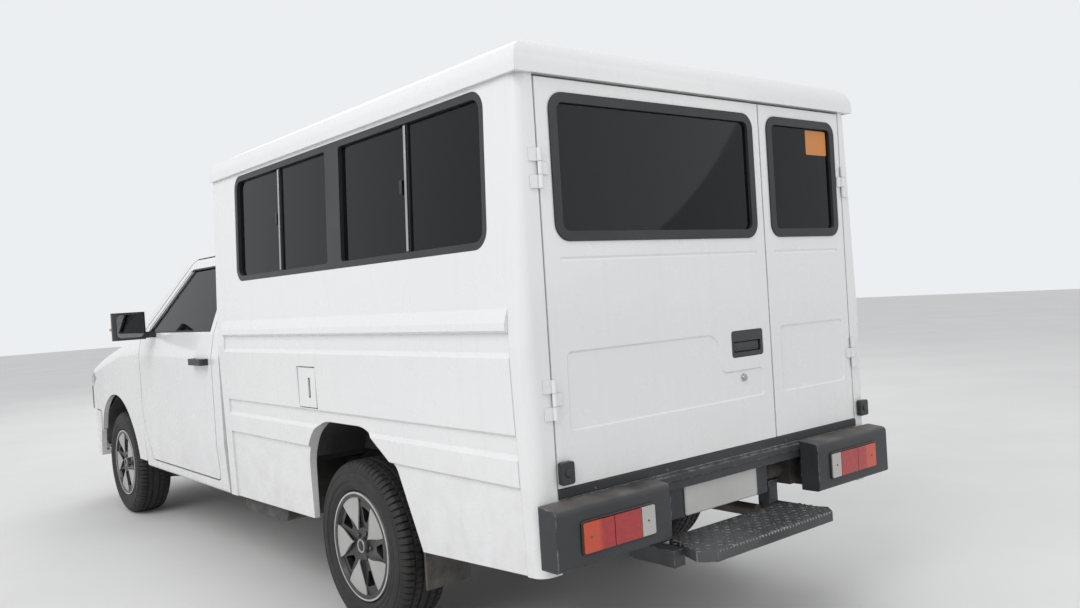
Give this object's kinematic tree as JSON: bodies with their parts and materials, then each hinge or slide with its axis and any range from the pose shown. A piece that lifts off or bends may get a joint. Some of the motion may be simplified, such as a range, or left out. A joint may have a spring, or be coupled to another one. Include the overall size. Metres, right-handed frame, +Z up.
{
  "type": "single-cab pickup truck with boxed passenger body",
  "caption": "Single-cab pickup truck on a ladder frame whose bed carries a tall boxy passenger body with side windows, two unequal rear doors, short rear bumpers and a tread step.",
  "frame": {"origin": "on the ground, at the middle of the overall length and width", "axes": "+X forward along the vehicle, +Y to its left, +Z up"},
  "size_m": [5.377, 2.17, 2.006],
  "materials": {
    "body_paint": "gloss white",
    "cabin_floor": "studded mat",
    "underbody": "satin black",
    "engine": "as cast",
    "exhaust": "dull",
    "tank": "matte",
    "bumper_plastic": "grained",
    "dark_plastic": "satin",
    "seal": "matte",
    "glass": "tinted",
    "tyre": "matte",
    "rim": "machined",
    "tail_lamp": "clear coated",
    "headlamp": "clear",
    "seat": "woven",
    "step": "worn tread plate"
  },
  "bodies": {
    "vehicle": {"body_floor": "cabin_floor", "body_front_wall": "body_paint", "body_roof": "body_paint", "body_side_left": "body_paint", "body_side_right": "body_paint", "cab_glass": "glass", "cab_seat": "seat", "cab_shell": "body_paint", "chassis_frame": "underbody", "cowl": "dark_plastic", "dashboard": "dark_plastic", "drive_shaft": "underbody", "engine_block": "engine", "exhaust": "exhaust", "front_bumper": "body_paint", "front_fenders": "body_paint", "front_suspension": "underbody", "fuel_tank": "tank", "grille": "bumper_plastic", "headlamps": "headlamp", "hinges": "body_paint", "leaf_springs": "underbody", "rear_axle": "underbody", "rear_bumpers": "bumper_plastic", "rear_frame": "body_paint", "rear_step": "step", "side_benches": "seat", "side_glass": "glass", "side_window_frames": "dark_plastic", "steering_wheel": "dark_plastic", "tail_lamps": "tail_lamp", "wheel_arch_liners": "bumper_plastic"},
    "cab_door_left": {"cab_door_left": "body_paint", "cab_door_glass_left": "glass", "mirror_and_handle_left": "dark_plastic"},
    "cab_door_right": {"cab_door_right": "body_paint", "cab_door_glass_right": "glass", "mirror_and_handle_right": "dark_plastic"},
    "rear_door_left": {"rear_door_left": "body_paint", "rear_gasket_left": "seal", "rear_glass_left": "glass", "rear_door_latch": "dark_plastic"},
    "rear_door_right": {"rear_door_right": "body_paint", "rear_gasket_right": "seal", "rear_glass_right": "glass"},
    "bonnet": {"bonnet": "body_paint"},
    "fuel_flap": {"fuel_flap": "body_paint"},
    "knuckle_left": {"knuckle_left": "underbody"},
    "knuckle_right": {"knuckle_right": "underbody"},
    "wheel_fl": {"tyre_fl": "tyre", "rim_fl": "rim"},
    "wheel_fr": {"tyre_fr": "tyre", "rim_fr": "rim"},
    "wheel_rl": {"tyre_rl": "tyre", "rim_rl": "rim"},
    "wheel_rr": {"tyre_rr": "tyre", "rim_rr": "rim"}
  },
  "joints": [
    {"name": "bonnet_hinge", "type": "hinge", "parent": "vehicle", "child": "bonnet", "pos_m": [1.2885, 0, 1.106], "axis": [0, -1, 0], "range_deg": [0, 45]},
    {"name": "cab_door_left_hinge", "type": "hinge", "parent": "vehicle", "child": "cab_door_left", "pos_m": [1.1255, 0.862, 0.875], "axis": [0, 0, -1], "range_deg": [0, 65]},
    {"name": "cab_door_right_hinge", "type": "hinge", "parent": "vehicle", "child": "cab_door_right", "pos_m": [1.1255, -0.862, 0.875], "axis": [0, 0, 1], "range_deg": [0, 65]},
    {"name": "rear_door_left_hinge", "type": "hinge", "parent": "vehicle", "child": "rear_door_left", "pos_m": [-2.5155, 0.784, 1.28], "axis": [0, 0, -1], "range_deg": [0, 110]},
    {"name": "rear_door_right_hinge", "type": "hinge", "parent": "vehicle", "child": "rear_door_right", "pos_m": [-2.5155, -0.784, 1.28], "axis": [0, 0, 1], "range_deg": [0, 110]},
    {"name": "fuel_flap_hinge", "type": "hinge", "parent": "vehicle", "child": "fuel_flap", "pos_m": [-1.0395, 0.87305, 0.933], "axis": [0, 0, -1], "range_deg": [0, 95]},
    {"name": "steer_left", "type": "hinge", "parent": "vehicle", "child": "knuckle_left", "pos_m": [1.6985, 0.722, 0.327], "axis": [0, 0, 1], "range_deg": [-32, 32]},
    {"name": "steer_right", "type": "hinge", "parent": "vehicle", "child": "knuckle_right", "pos_m": [1.6985, -0.722, 0.327], "axis": [0, 0, 1], "range_deg": [-32, 32]},
    {"name": "wheel_fl_spin", "type": "hinge", "parent": "knuckle_left", "child": "wheel_fl", "pos_m": [1.6985, 0.737, 0.327], "axis": [0, 1, 0], "continuous": true},
    {"name": "wheel_fr_spin", "type": "hinge", "parent": "knuckle_right", "child": "wheel_fr", "pos_m": [1.6985, -0.737, 0.327], "axis": [0, 1, 0], "continuous": true},
    {"name": "wheel_rl_spin", "type": "hinge", "parent": "vehicle", "child": "wheel_rl", "pos_m": [-1.3865, 0.737, 0.327], "axis": [0, 1, 0], "continuous": true},
    {"name": "wheel_rr_spin", "type": "hinge", "parent": "vehicle", "child": "wheel_rr", "pos_m": [-1.3865, -0.737, 0.327], "axis": [0, 1, 0], "continuous": true}
  ],
  "couplings": [
    {"joint": "steer_right", "follows": "steer_left", "ratio": 1}
  ]
}
